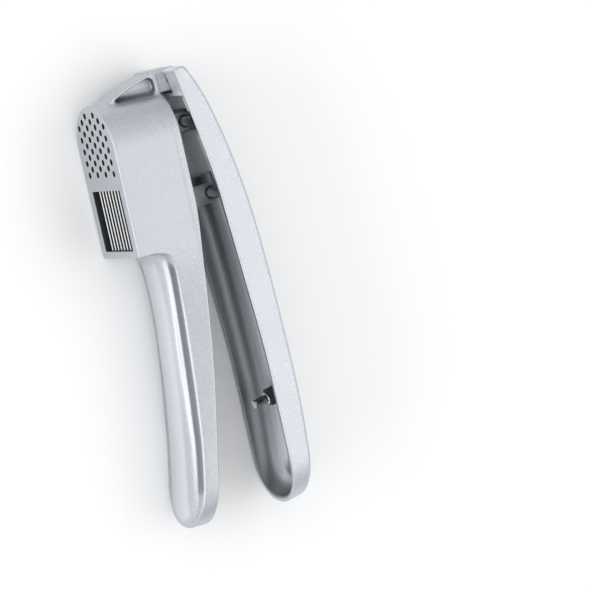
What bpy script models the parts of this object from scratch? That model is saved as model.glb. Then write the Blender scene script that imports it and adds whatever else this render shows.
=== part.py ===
"""Two-in-one garlic press: a perforated pressing chamber and a blade slicer in one head.

The tool lies on its flat side. X runs along its length from the hinge to the handle ends,
Y runs from the perforated face to the back of the upper handle, and Z runs across its width.
The origin is on the flat side of the head, under the wall between its two chambers.
Lengths are written in millimetres and become metres when a mesh is made.
"""
import math

import bmesh
import bpy
from mathutils import Matrix, Vector

MM = 0.001
GAP = 0.3                     # clearance between neighbouring pieces

# Whole tool
WIDTH = 39.0                  # across both castings
MID_Z = WIDTH / 2
WALL = 2.2                    # casting thickness
REACH = 60.0                  # a cutter reaches past everything it opens

# Head of the body casting
FRONT_Y = -15.0               # perforated face
REAR_Y = 15.6                 # open back of the head
HEAD_RADIUS = WIDTH / 2       # round top of the head
ARCH_X = -14.6                # centre of that round top
HEAD_END_X = 31.0
PLATE = 2.2                   # thickness of the perforated face
FACE_BEVEL = 1.0

# Holes: staggered rows, alternately even and odd
HOLE_RADIUS = 0.95
HOLE_SIDES = 10
HOLE_ROWS = (2, 3, 4, 3, 4, 3, 4, 3, 4, 3, 4)
FIRST_ROW_X = -30.0
ROW_PITCH = 2.5
HOLE_PITCH = 8.6

# Chambers and slicer window
CHAMBER_RADIUS = 17.3
PRESS_END_X = -1.5
SLICE_START_X = 1.3
SLICE_END_X = 28.5
SLICE_HALF_WIDTH = 15.6
WINDOW_START_X = 2.1
WINDOW_END_X = 27.7
WINDOW_HALF_WIDTH = 14.5

# Slicer blades
BLADE_COUNT = 8
BLADE_PITCH = 3.2
BLADE_THICK = 0.5
BLADE_DEPTH = 3.4
BLADE_INSET = 1.7             # from the face to the cutting edges
BLADE_SEAT = 0.9              # how far a blade end sits in its slot

# Hinge, in rest position
HINGE = (-37.5, 22.8)
HINGE_PIN_RADIUS = 2.0
KNUCKLE_RADIUS = 5.0
KNUCKLE_HALF_WIDTH = 6.5
TONGUE_HALF_WIDTH = 8.0
TONGUE_STEP_Y = 15.9          # the tongue is narrower behind this line
POCKET_DEPTH = 3.6

# Upper handle
CLOSE_ANGLE = math.radians(11.0)   # from rest back to the line where both rims are parallel
FORK_END = -4.6               # end of the fork, along the handle from the hinge
SLOT_END = 5.8                # bottom of the slot between the ears
ROOT_START, ROOT_END = 7.5, 43.0   # raised floor between the fork and the channel
ROOT_FLOOR = 0.6              # its depth, from the hinge axis
POCKET_HALF, POCKET_FLOOR = 4.8, 4.0
PIN_COVER = 0.9               # casting left over the blind ends of the pins
LEDGE_HALF_WIDTH = 9.5        # half width of the deep channel between the ledges

# Feet and their pins, measured from the hinge with the handle closed
FOOT_PIN_RADIUS = 2.3
LUG_RADIUS = 4.0
LUG_HALF_WIDTH = 2.7
PRESS_PIN = (19.14, -0.56)
SLICE_PIN = (51.22, -2.21)
PRESS_LEAD = 0.76             # how much of the handle's turn the feet give back
SLICE_LEAD = 0.64
FOOT_FACE_GAP = 0.4           # foot to plate or blades when closed
PRESS_FOOT_RADIUS = 16.0
PRESS_FOOT_THICK = 4.0
SLICE_FOOT_HALF_WIDTH = 14.5
SLICE_FOOT_THICK = 3.0
RIB_HALF_WIDTH = 0.9

# Peg near the end of the upper handle
PEG_ALONG = 141.7
PEG_RADIUS = 1.9
PEG_TOP_DROP = -2.2           # below the rim: the peg stands out of the channel
COLLAR_DROP = 3.8
BLOCK_SIZE = (7.0, 4.6)


# ---------------------------------------------------------------- outlines
def smooth_curve(points, steps):
    """Catmull-Rom curve through the points, with this many pieces between neighbours."""
    ends = [points[0]] + list(points) + [points[-1]]
    curve = []
    for a, b, c, d in zip(ends, ends[1:], ends[2:], ends[3:]):
        for step in range(steps):
            t = step / steps
            curve.append(tuple(
                0.5 * (2 * q + (r - p) * t + (2 * p - 5 * q + 4 * r - s) * t ** 2
                       + (3 * q - p - 3 * r + s) * t ** 3)
                for p, q, r, s in zip(a, b, c, d)))
    curve.append(tuple(points[-1]))
    return curve


def arc(centre, radius, start, end, sides):
    """Points of an arc, angles in degrees."""
    points = []
    for step in range(sides + 1):
        angle = math.radians(start + (end - start) * step / sides)
        points.append((centre[0] + radius * math.cos(angle), centre[1] + radius * math.sin(angle)))
    return points


def circle(centre, radius, sides):
    return arc(centre, radius, 0, 360, sides)[:-1]


def rest_turn(along, depth):
    """A place on the closed upper handle, given from the hinge, as X and Y at rest."""
    cosine, sine = math.cos(CLOSE_ANGLE), math.sin(CLOSE_ANGLE)
    return (HINGE[0] + along * cosine - depth * sine, HINGE[1] + along * sine + depth * cosine)


# Side outlines of both handles: distance along the handle, then depth
BODY_RIM = ((-60, REAR_Y), (0, REAR_Y), (18, 15.4), (38, 13.2), (58, 10.8), (86, 6.6), (115, 0.8),
            (135, -3.4), (152, -7.0))
BODY_STEP = ((24, -9.0), (31, -5.6), (31.8, -3.2), (34.5, -0.8), (41, 0.1), (52, 0.0), (61, -0.4),
             (75, -1.5), (90, -3.0), (103, -4.6), (114, -6.1), (130, -9.2), (140, -11.6), (152, -14.8))
BODY_FRONT = ((24, -12.0), (31, -6.6), (33, -4.7), (36, -3.4), (42, -2.8), (52, -2.8), (62, -3.4),
              (75, -4.6), (90, -5.9), (103, -7.4), (114, -8.8), (130, -11.6), (140, -13.6), (152, -16.4))
UPPER_RIM = ((-8, -3.3), (14, -3.7), (45, -5.0), (60, -6.8), (90, -10.6), (120, -14.6), (150, -20.2),
             (170, -24.0), (188, -27.0))
UPPER_STEP = ((-8, -2.5), (-4.6, 1.3), (-3.4, 2.4), (-1.8, 3.0), (1, 3.6), (5, 4.7), (16, 6.2), (34, 6.9), (56, 6.2), (80, 3.5), (110, -1.2),
              (140, -6.6), (164, -12.4), (188, -19.4))
UPPER_TAPER = 0.3
RAISED_RISE = 2.0             # the raised panel stands this far above the step
RAISED_HALF_WIDTH = 13.0
BODY_PANEL = ((-60, 13.0), (24, 13.0), (40, 12.6), (50, 11.9), (62, 11.2), (83, 11.2), (97, 11.8),
              (106, 12.6), (115, 13.0), (190, 13.0))   # the waist of the lower handle's raised panel
TAPERS = ((-60, 0.0), (28, 0.0), (40, 1.2), (55, 2.6), (70, 3.0), (84, 2.4), (98, 1.4), (114, 0.5),
          (126, 0.2), (190, 0.2))   # how much narrower the lower handle is at its step than at its rim
END_RADIUS = 19.5             # half-round ends of both handles
BODY_END_X = 128.4            # centre of the round end
UPPER_END = 165.4             # the same on the upper handle, from the hinge
END_SQUARENESS = 2.25         # 2 is a true half round, more is blunter
EDGE_RADIUS = 2.6             # long outer edges


def line_at(points, along):
    """Depth of an outline at a distance along it."""
    for (a, b), (c, d) in zip(points, points[1:]):
        if a <= along <= c:
            return b + (d - b) * (along - a) / (c - a)
    return points[-1][1]


def arch_plan(radius, end_x, sides=20):
    """Plan outline of the head or of its round chamber: half-round top, straight sides."""
    return arc((ARCH_X, MID_Z), radius, 90, 270, sides) + [(end_x, MID_Z - radius), (end_x, MID_Z + radius)]


# ---------------------------------------------------------------- meshes and objects
def clear_scene():
    for item in list(bpy.data.objects):
        bpy.data.objects.remove(item, do_unlink=True)


def make_material(name, colour, roughness, metallic):
    material = bpy.data.materials.new(name)
    material.use_nodes = True
    shader = material.node_tree.nodes["Principled BSDF"]
    shader.inputs["Base Color"].default_value = (*colour, 1.0)
    shader.inputs["Roughness"].default_value = roughness
    shader.inputs["Metallic"].default_value = metallic
    return material


def cast_metal():
    return make_material("bead_blasted_casting", (0.62, 0.64, 0.66), 0.45, 1.0)


def pin_steel():
    return make_material("pin_steel", (0.40, 0.41, 0.42), 0.22, 1.0)


def blade_steel():
    return make_material("blade_steel", (0.72, 0.73, 0.75), 0.2, 1.0)


def dark_block():
    return make_material("dark_block", (0.03, 0.03, 0.03), 0.5, 0.0)


def prism(name, outline, low, high, axis="z", bevel=0.0, bevel_test=None, segments=2):
    """Solid between two flat ends. axis z takes an X-Y outline, axis y an X-Z outline.

    bevel_test picks the edges to round, from the two end points of each in millimetres.
    """
    def place(point, level):
        if axis == "z":
            return Vector((point[0], point[1], level)) * MM
        return Vector((point[0], level, point[1])) * MM

    mesh_data = bmesh.new()
    bottom = [mesh_data.verts.new(place(point, low)) for point in outline]
    top = [mesh_data.verts.new(place(point, high)) for point in outline]
    mesh_data.faces.new(bottom)
    mesh_data.faces.new(top)
    for index in range(len(outline)):
        after = (index + 1) % len(outline)
        mesh_data.faces.new((bottom[index], bottom[after], top[after], top[index]))
    bmesh.ops.recalc_face_normals(mesh_data, faces=mesh_data.faces)
    if bevel:
        edges = [edge for edge in mesh_data.edges
                 if bevel_test(edge.verts[0].co / MM, edge.verts[1].co / MM)]
        bmesh.ops.bevel(mesh_data, geom=edges, offset=bevel * MM, segments=segments, profile=0.5,
                        affect="EDGES", clamp_overlap=True)
    return finish_mesh(name, mesh_data)


def finish_mesh(name, mesh_data):
    mesh = bpy.data.meshes.new(name)
    mesh_data.to_mesh(mesh)
    mesh_data.free()
    mesh.shade_smooth()
    mesh.set_sharp_from_angle(angle=math.radians(32))
    item = bpy.data.objects.new(name, mesh)
    bpy.context.scene.collection.objects.link(item)
    return item


def rod(name, centre, radius, low, high, sides=24, bevel=0.0):
    """Round bar across the tool."""
    def at_an_end(a, b):
        return abs(a.z - b.z) < 1e-4
    return prism(name, circle(centre, radius, sides), low, high, "z", bevel, at_an_end, 1)


def as_tool(item):
    """Mark a cutter or a boolean partner, which is no piece of the object."""
    item.hide_render = True
    item.display_type = "WIRE"
    return item


def combine(item, tool, operation):
    modifier = item.modifiers.new(tool.name, "BOOLEAN")
    modifier.operation = operation
    modifier.object = as_tool(tool)
    modifier.solver = "EXACT"


def dress(item, material):
    item.data.materials.clear()
    item.data.materials.append(material)


def turn_to_rest(item):
    """Swing a solid that was drawn for the closed handle, from the hinge, into rest position."""
    hinge = Matrix.Translation(Vector((HINGE[0], HINGE[1], 0)) * MM)
    item.data.transform(hinge @ Matrix.Rotation(CLOSE_ANGLE, 4, "Z"))


# ---------------------------------------------------------------- body casting
def front_edges(a, b):
    """Edges around the perforated face."""
    return abs(a.y - FRONT_Y) < 1e-3 and abs(b.y - FRONT_Y) < 1e-3


def body_side_limit():
    """Side outline that trims the back of the head to the rim line."""
    rim = smooth_curve(BODY_RIM, 3)
    outline = [(-60, FRONT_Y - 2), (HEAD_END_X + 1, FRONT_Y - 2)]
    outline += [(x, line_at(rim, x)) for x in (HEAD_END_X + 1, 26, 20, 14, 8, 0, -60)]
    return prism("body_side_limit", outline, -1, WIDTH + 1)


def body_shape():
    """Outline functions of the lower handle: rim, step, raised front and half widths, along X."""
    rim, step, front = (smooth_curve(points, 3) for points in (BODY_RIM, BODY_STEP, BODY_FRONT))
    taper, panel = smooth_curve(TAPERS, 3), smooth_curve(BODY_PANEL, 3)
    return HandleShape(-1, lambda x: line_at(rim, x), lambda x: line_at(step, x), lambda x: line_at(front, x),
                       lambda x: line_at(taper, x), lambda x: line_at(panel, x), BODY_END_X)


def upper_shape():
    """Outline functions of the upper handle, along it from the hinge, as closed."""
    rim, step = smooth_curve(UPPER_RIM, 3), smooth_curve(UPPER_STEP, 3)
    return HandleShape(1, lambda x: line_at(rim, x), lambda x: line_at(step, x),
                       lambda x: line_at(step, x) + RAISED_RISE * ease((x - 10) / 20),
                       lambda x: UPPER_TAPER, lambda x: RAISED_HALF_WIDTH, UPPER_END)


def ease(t):
    """Smooth step from 0 to 1."""
    t = min(1.0, max(0.0, t))
    return t * t * (3 - 2 * t)


class HandleShape:
    """A handle's outline functions. side is -1 where the raised panel faces -Y, 1 where it faces +Y."""

    def __init__(self, side, rim, step, front, taper, panel, end):
        self.side = side
        self.rim = rim
        self.step = step
        self.front = front
        self.taper = taper
        self.panel = panel
        self.end = end

    def stations(self, start, wall, straight, rounded):
        """Places for the sections: even steps, then closer ones round the end."""
        radius = END_RADIUS - wall
        places = [start + (self.end - start) * index / straight for index in range(straight)]
        places += [self.end + radius * math.sin(math.radians(86.5) * index / rounded)
                   for index in range(rounded + 1)]
        return places

    def width_at(self, x, wall):
        """Half width of the outside, or of the hollow where wall is the casting's thickness."""
        radius = END_RADIUS - wall
        if x <= self.end:
            return radius
        past = min(1.0, (x - self.end) / radius)
        return radius * (1 - past ** END_SQUARENESS) ** (1 / END_SQUARENESS)

    def roll_off(self, x, wall, radius):
        """How far the outside has curved in towards the rim near the tip of the round end."""
        past = max(0.0, x - (self.end + END_RADIUS - wall - radius))
        return radius - math.sqrt(max(radius ** 2 - min(past, radius) ** 2, 0.0))

    def raised_width_at(self, x, wall, tip_inset):
        """Half width of the raised panel, which ends in its own half round."""
        full = min(self.panel(x) - wall, self.width_at(x, wall) - 2.0)
        radius = RAISED_HALF_WIDTH - wall
        centre = self.end + END_RADIUS - tip_inset - RAISED_HALF_WIDTH
        if x <= centre:
            return full
        return math.sqrt(max(radius ** 2 - (x - centre) ** 2, 0.0))

    def section(self, x, wall=0.0, edge=EDGE_RADIUS, panel_width=None, mouth=0.0):
        """One section as Y-Z points, round from one rim edge to the other.

        mouth carries the hollow of a channel out past the rim.
        """
        side = self.side
        half = self.width_at(x, wall)
        roll = self.roll_off(x, wall, 4.0)
        step = self.step(x) - side * (wall + roll)
        rim = self.rim(x) - side * mouth
        panel = panel_width(x) if panel_width else self.raised_width_at(x, wall, 3.5)
        panel = max(0.0, min(panel, half - self.taper(x) - 1.5))
        rise = side * (self.front(x) - side * (wall + roll) - step)
        rise *= math.sqrt(min(1.0, panel / 6.0))
        corner = min(edge, 0.45 * half)
        slope = min(1.3, 0.3 * panel)
        points = [(rim, -half)]
        foot = half - self.taper(x) * min(1.0, half / 12.0)
        for angle in (0, 30, 60, 90):
            turn = math.radians(angle)
            points.append((step - side * corner * (1 - math.sin(turn)), -foot + corner * (1 - math.cos(turn))))
        for part in (0.0, 0.3, 0.7, 1.0):
            points.append((step + side * rise * ease(part), -panel - slope + 2 * slope * part))
        points.append((step + side * (rise + 0.35 * min(1.0, panel / 8.0)), -0.4 * panel))
        points += [(y, -z) for y, z in reversed(points)]
        return [(y, MID_Z + z) for y, z in points]


def loft(name, shape, places, **options):
    """Closed solid through a handle's sections."""
    mesh_data = bmesh.new()
    rings = []
    for x in places:
        rings.append([mesh_data.verts.new(Vector((x, y, z)) * MM) for y, z in shape.section(x, **options)])
    for lower, upper in zip(rings, rings[1:]):
        for index in range(len(lower)):
            after = (index + 1) % len(lower)
            mesh_data.faces.new((lower[index], lower[after], upper[after], upper[index]))
    mesh_data.faces.new(rings[0])
    mesh_data.faces.new(rings[-1])
    bmesh.ops.recalc_face_normals(mesh_data, faces=mesh_data.faces)
    return finish_mesh(name, mesh_data)


def tongue():
    """Arched tongue that climbs over the round top of the head, and the narrower knuckle behind it."""
    front = smooth_curve(((-30.0, -9.8), (-33.8, -8.8), (-35.2, -5.9), (-38.0, 0.4), (-40.5, 8.5),
                          (-42.6, TONGUE_STEP_Y)), 3)
    flank_outline = front + [(-31.5, TONGUE_STEP_Y), (-31.5, REAR_Y), (-25.0, REAR_Y), (-25.0, -9.0)]
    flanks = prism("tongue_flanks", flank_outline, MID_Z - TONGUE_HALF_WIDTH, MID_Z + TONGUE_HALF_WIDTH)
    knuckle_outline = arc(HINGE, KNUCKLE_RADIUS, 180, 0, 12) + [(-32.2, 12.0), (-42.2, 12.0)]
    knuckle = prism("tongue_knuckle", knuckle_outline, MID_Z - KNUCKLE_HALF_WIDTH,
                    MID_Z + KNUCKLE_HALF_WIDTH)
    return flanks, knuckle


def tongue_pocket(side):
    """Recess in one flank of the tongue, under its arched rim."""
    outline = smooth_curve(((-33.3, -7.0), (-36.4, 0.6), (-38.9, 8.0), (-39.9, 11.4)), 2)
    outline += [(-39.7, 12.9), (-38.7, 13.8), (-37.2, 14.0), (-33.3, 12.6)]
    inner = MID_Z + side * (TONGUE_HALF_WIDTH - POCKET_DEPTH)
    outer = MID_Z + side * (TONGUE_HALF_WIDTH + 2)
    return prism("tongue_pocket_%s" % ("near" if side > 0 else "far"), outline, min(inner, outer),
                 max(inner, outer))


def hole_grid():
    """All drilled holes of the perforated face as one tool."""
    mesh_data = bmesh.new()
    for row, count in enumerate(HOLE_ROWS):
        for column in range(count):
            z = MID_Z + (column - (count - 1) / 2) * HOLE_PITCH
            x = FIRST_ROW_X + row * ROW_PITCH
            place = Matrix.Translation(Vector((x, FRONT_Y, z)) * MM)
            bmesh.ops.create_cone(mesh_data, cap_ends=True, segments=HOLE_SIDES, radius1=HOLE_RADIUS * MM,
                                  radius2=HOLE_RADIUS * MM, depth=4 * PLATE * MM,
                                  matrix=place @ Matrix.Rotation(math.pi / 2, 4, "X"))
    return finish_mesh("hole_grid", mesh_data)


def blade_heights():
    """Z of each blade's middle."""
    return [MID_Z + (index - (BLADE_COUNT - 1) / 2) * BLADE_PITCH for index in range(BLADE_COUNT)]


def box_tool(name, x_range, y_range, z_range):
    outline = [(x_range[0], y_range[0]), (x_range[1], y_range[0]), (x_range[1], y_range[1]),
               (x_range[0], y_range[1])]
    return prism(name, outline, z_range[0], z_range[1])


def blade_slots():
    """Slots for the blade ends in the two ends of the slicer window, as one tool."""
    mesh_data = bmesh.new()
    length = WINDOW_END_X - WINDOW_START_X + 2 * (BLADE_SEAT + GAP)
    depth = REACH
    low = FRONT_Y + BLADE_INSET - GAP
    for z in blade_heights():
        centre = Vector(((WINDOW_START_X + WINDOW_END_X) / 2, low + depth / 2, z)) * MM
        size = Vector((length, depth, BLADE_THICK + 2 * GAP)) * MM
        bmesh.ops.create_cube(mesh_data, size=1.0, matrix=Matrix.Translation(centre) @ Matrix.Diagonal(
            (*size, 1.0)))
    return finish_mesh("blade_slots", mesh_data)


def build_body(metal):
    body = prism("body", arch_plan(HEAD_RADIUS, HEAD_END_X), FRONT_Y, REAR_Y, "y",
                 bevel=FACE_BEVEL, bevel_test=front_edges)
    combine(body, body_side_limit(), "INTERSECT")
    shape = body_shape()
    outside = loft("body_handle", shape, shape.stations(24.5, 0, 16, 9))
    for piece in (outside, *tongue()):
        combine(body, piece, "UNION")
    chamber = prism("press_chamber", arch_plan(CHAMBER_RADIUS, PRESS_END_X), FRONT_Y + PLATE, REACH, "y")
    plan = [(SLICE_START_X, MID_Z - SLICE_HALF_WIDTH), (SLICE_END_X, MID_Z - SLICE_HALF_WIDTH),
            (SLICE_END_X, MID_Z + SLICE_HALF_WIDTH), (SLICE_START_X, MID_Z + SLICE_HALF_WIDTH)]
    slicer = prism("slicer_chamber", plan, FRONT_Y + BLADE_INSET + BLADE_DEPTH + GAP, REACH, "y")
    window = box_tool("window", (WINDOW_START_X, WINDOW_END_X), (-REACH, REAR_Y + 1),
                      (MID_Z - WINDOW_HALF_WIDTH, MID_Z + WINDOW_HALF_WIDTH))
    bore = rod("hinge_bore", HINGE, HINGE_PIN_RADIUS + GAP, -1, WIDTH + 1)
    hollow = loft("body_hollow", shape, shape.stations(HEAD_END_X + 3, WALL, 16, 8), wall=WALL,
                  edge=2.2, mouth=REACH)
    cuts = (chamber, slicer, window, hole_grid(), blade_slots(), hollow, bore, tongue_pocket(1),
            tongue_pocket(-1))
    for cut in cuts:
        combine(body, cut, "DIFFERENCE")
    dress(body, metal)


def build_blades(steel):
    low = FRONT_Y + BLADE_INSET
    ends = (WINDOW_START_X - BLADE_SEAT, WINDOW_END_X + BLADE_SEAT)
    for number, z in enumerate(blade_heights(), 1):
        # the cutting edge is ground to a wedge
        outline = [(low, z), (low + 0.9, z - BLADE_THICK / 2), (low + BLADE_DEPTH, z - BLADE_THICK / 2),
                   (low + BLADE_DEPTH, z + BLADE_THICK / 2), (low + 0.9, z + BLADE_THICK / 2)]
        blade = lengthwise_prism("slicer_blade_%d" % number, outline, *ends)
        dress(blade, steel)


def lengthwise_prism(name, outline, low, high):
    """Solid along X from a Y-Z outline."""
    mesh_data = bmesh.new()
    rings = [[mesh_data.verts.new(Vector((x, y, z)) * MM) for y, z in outline] for x in (low, high)]
    for ring in rings:
        mesh_data.faces.new(ring)
    for index in range(len(outline)):
        after = (index + 1) % len(outline)
        mesh_data.faces.new((rings[0][index], rings[0][after], rings[1][after], rings[1][index]))
    bmesh.ops.recalc_face_normals(mesh_data, faces=mesh_data.faces)
    return finish_mesh(name, mesh_data)


# ---------------------------------------------------------------- upper handle
def build_upper_handle(metal):
    """Channel casting with a forked end; drawn from the hinge for the closed handle."""
    shape = upper_shape()
    handle = loft("upper_handle", shape, shape.stations(FORK_END, 0, 20, 9))
    for cut in upper_cuts(shape):
        turn_to_rest(cut)
        combine(handle, cut, "DIFFERENCE")
    turn_to_rest(handle)
    dress(handle, metal)


def upper_cuts(shape):
    """Fork slot, channel, foot pockets and pin bores of the upper handle."""
    slot = KNUCKLE_HALF_WIDTH + GAP
    cuts = [box_tool("fork_slot", (-10, SLOT_END), (-20, 20), (MID_Z - slot, MID_Z + slot))]
    cuts.append(loft("upper_hollow", shape, shape.stations(ROOT_END, WALL, 16, 8), wall=WALL, edge=2.2,
                     panel_width=lambda x: deep_width(shape, x), mouth=REACH))
    inner = WIDTH / 2 - WALL - 0.4
    low, high = MID_Z - inner, MID_Z + inner
    cuts.append(box_tool("root_step", (ROOT_START, ROOT_END + 1), (-20, ROOT_FLOOR), (low, high)))
    cuts.append(box_tool("press_pocket", (PRESS_PIN[0] - POCKET_HALF, PRESS_PIN[0] + POCKET_HALF),
                         (-20, POCKET_FLOOR), (low, high)))
    for name, centre, radius in (("press_pin_bore", PRESS_PIN, FOOT_PIN_RADIUS),
                                 ("slice_pin_bore", SLICE_PIN, FOOT_PIN_RADIUS),
                                 ("upper_hinge_bore", (0, 0), HINGE_PIN_RADIUS)):
        cuts.append(rod(name, centre, radius + GAP, -1, WIDTH - PIN_COVER))
    return cuts


def deep_width(shape, x):
    """Half width of the deep channel: narrow along the grip, widening to the walls near the head."""
    wide = shape.width_at(x, WALL) - 2.0
    narrow = min(LEDGE_HALF_WIDTH, shape.raised_width_at(x, WALL, 3.5 + WALL))
    return narrow + (wide - narrow) * (1 - ease((x - 50) / 30))


# ---------------------------------------------------------------- pins
def build_cross_pin(name, centre, radius, steel):
    pin = rod(name, centre, radius, GAP + 0.1, WIDTH - PIN_COVER - GAP, 20, 0.4)
    dress(pin, steel)


# ---------------------------------------------------------------- feet
def place_foot(foot, pin, lead):
    """Stand a foot on its pin. It is drawn level, as it is when closed, with the pin at its origin."""
    x, y = rest_turn(*pin)
    foot.location = Vector((x, y, 0)) * MM
    foot.rotation_euler = (0, 0, (1 - lead) * CLOSE_ANGLE)


def closed_place(pin):
    """X and Y of a foot pin with the handle closed."""
    return HINGE[0] + pin[0], HINGE[1] + pin[1]


def stem_outline(half_foot, foot_back, centre):
    """Side outline of lug and stem, from the pin to the back of the foot plate."""
    lug = arc((0, 0), LUG_RADIUS, -10, 190, 12)
    return lug + [(-LUG_RADIUS - 1.2, -9.0), (centre - half_foot, foot_back), (centre + half_foot, foot_back),
                  (LUG_RADIUS + 1.2, -9.0)]


def build_press_foot(metal):
    pin_x, pin_y = closed_place(PRESS_PIN)
    face = FRONT_Y + PLATE + FOOT_FACE_GAP - pin_y
    back = face + PRESS_FOOT_THICK
    top = ARCH_X - 0.8 - pin_x
    plan = arc((top, MID_Z), PRESS_FOOT_RADIUS, 90, 270, 20)
    plan += [(-4.0 - pin_x, MID_Z - PRESS_FOOT_RADIUS), (-4.0 - pin_x, MID_Z + PRESS_FOOT_RADIUS)]
    foot = prism("press_foot", plan, face, back, "y")
    centre = (top - PRESS_FOOT_RADIUS - 4.0 - pin_x) / 2
    stem = prism("press_stem", stem_outline(7.0, back - 1, centre), MID_Z - LUG_HALF_WIDTH,
                 MID_Z + LUG_HALF_WIDTH)
    finish_foot(foot, stem, PRESS_PIN, PRESS_LEAD, metal)


def finish_foot(foot, stem, pin, lead, metal):
    bore = rod(foot.name + "_bore", (0, 0), FOOT_PIN_RADIUS + GAP, -1, WIDTH + 1)
    combine(foot, stem, "UNION")
    combine(foot, bore, "DIFFERENCE")
    place_foot(foot, pin, lead)
    for tool in (stem, bore):
        place_foot(tool, pin, lead)
    dress(foot, metal)


def build_slicer_foot(metal):
    pin_x, pin_y = closed_place(SLICE_PIN)
    blade_back = FRONT_Y + BLADE_INSET + BLADE_DEPTH
    face = blade_back + FOOT_FACE_GAP - pin_y
    back = face + SLICE_FOOT_THICK
    start, end = 2.1 - pin_x, 26.3 - pin_x
    plan = [(start, MID_Z - SLICE_FOOT_HALF_WIDTH), (end, MID_Z - SLICE_FOOT_HALF_WIDTH),
            (end, MID_Z + SLICE_FOOT_HALF_WIDTH), (start, MID_Z + SLICE_FOOT_HALF_WIDTH)]
    foot = prism("slicer_foot", plan, face, back, "y")
    ribs = slicer_ribs(start + 0.8, end - 0.8, face - BLADE_DEPTH - FOOT_FACE_GAP, face + 0.5)
    combine(foot, ribs, "UNION")
    place_foot(ribs, SLICE_PIN, SLICE_LEAD)
    stem = prism("slicer_stem", stem_outline(7.5, back - 1, (start + end) / 2), MID_Z - LUG_HALF_WIDTH,
                 MID_Z + LUG_HALF_WIDTH)
    finish_foot(foot, stem, SLICE_PIN, SLICE_LEAD, metal)


def slicer_ribs(start, end, low, high):
    """Ribs that push the slices out between the blades, as one tool."""
    mesh_data = bmesh.new()
    heights = blade_heights()
    for z in [heights[0] - BLADE_PITCH / 2] + [height + BLADE_PITCH / 2 for height in heights]:
        centre = Vector(((start + end) / 2, (low + high) / 2, z)) * MM
        size = Vector((end - start, high - low, 2 * RIB_HALF_WIDTH)) * MM
        bmesh.ops.create_cube(mesh_data, size=1.0, matrix=Matrix.Translation(centre) @ Matrix.Diagonal(
            (*size, 1.0)))
    return finish_mesh("slicer_ribs", mesh_data)


# ---------------------------------------------------------------- peg
def peg_solid(name, profile, sides=20):
    """Turned solid standing on the channel floor, from radius and depth pairs."""
    mesh_data = bmesh.new()
    rings = []
    for radius, depth in profile:
        rings.append([mesh_data.verts.new(Vector((PEG_ALONG + radius * math.cos(angle), depth,
                                                  MID_Z + radius * math.sin(angle))) * MM)
                      for angle in (2 * math.pi * index / sides for index in range(sides))])
    for lower, upper in zip(rings, rings[1:]):
        for index in range(sides):
            after = (index + 1) % sides
            mesh_data.faces.new((lower[index], lower[after], upper[after], upper[index]))
    mesh_data.faces.new(rings[0])
    mesh_data.faces.new(rings[-1])
    bmesh.ops.recalc_face_normals(mesh_data, faces=mesh_data.faces)
    item = finish_mesh(name, mesh_data)
    turn_to_rest(item)
    return item


def build_peg(steel, dark):
    rim = line_at(smooth_curve(UPPER_RIM, 2), PEG_ALONG)
    floor = line_at(smooth_curve(UPPER_STEP, 2), PEG_ALONG) + RAISED_RISE - WALL
    top, collar = rim + PEG_TOP_DROP, rim + COLLAR_DROP
    base = floor - 1.2
    peg = peg_solid("stop_peg", ((PEG_RADIUS - 0.3, top), (PEG_RADIUS, top + 0.3), (PEG_RADIUS, top + 1.0),
                                 (PEG_RADIUS - 0.6, top + 1.2), (PEG_RADIUS - 0.6, top + 1.8),
                                 (PEG_RADIUS, top + 2.0), (PEG_RADIUS, collar - GAP)))
    dress(peg, steel)
    ring = peg_solid("peg_collar", ((PEG_RADIUS + 0.4, collar), (PEG_RADIUS + 0.8, collar + 0.3),
                                    (PEG_RADIUS + 0.8, collar + 0.8)))
    dress(ring, steel)
    half_long, half_wide = BLOCK_SIZE[0] / 2, BLOCK_SIZE[1] / 2
    block = box_tool("peg_block", (PEG_ALONG - half_long, PEG_ALONG + half_long), (collar + 0.8 + GAP, base),
                     (MID_Z - half_wide, MID_Z + half_wide))
    turn_to_rest(block)
    dress(block, dark)


def main():
    clear_scene()
    metal, steel, blade, dark = cast_metal(), pin_steel(), blade_steel(), dark_block()
    build_body(metal)
    build_blades(blade)
    build_upper_handle(metal)
    build_cross_pin("hinge_pin", HINGE, HINGE_PIN_RADIUS, steel)
    build_cross_pin("press_foot_pin", rest_turn(*PRESS_PIN), FOOT_PIN_RADIUS, steel)
    build_cross_pin("slicer_foot_pin", rest_turn(*SLICE_PIN), FOOT_PIN_RADIUS, steel)
    build_press_foot(metal)
    build_slicer_foot(metal)
    build_peg(steel, dark)


main()
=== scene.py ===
"""The looks of the two-in-one garlic press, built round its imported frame.

The castings are cast shapes with soft edges everywhere, so each one is written as a distance field: how far
a place is from the metal, negative inside. Blocks are joined and cut with a fillet radius of their own, and
the surface where the distance is zero becomes the mesh. Lengths are millimetres in the frame's axes, with w
for the distance from the tool's middle plane. Turned and ground pieces are plain meshes.
"""
import math

import bmesh
import bpy
import numpy as np
from mathutils import Matrix, Vector

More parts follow.
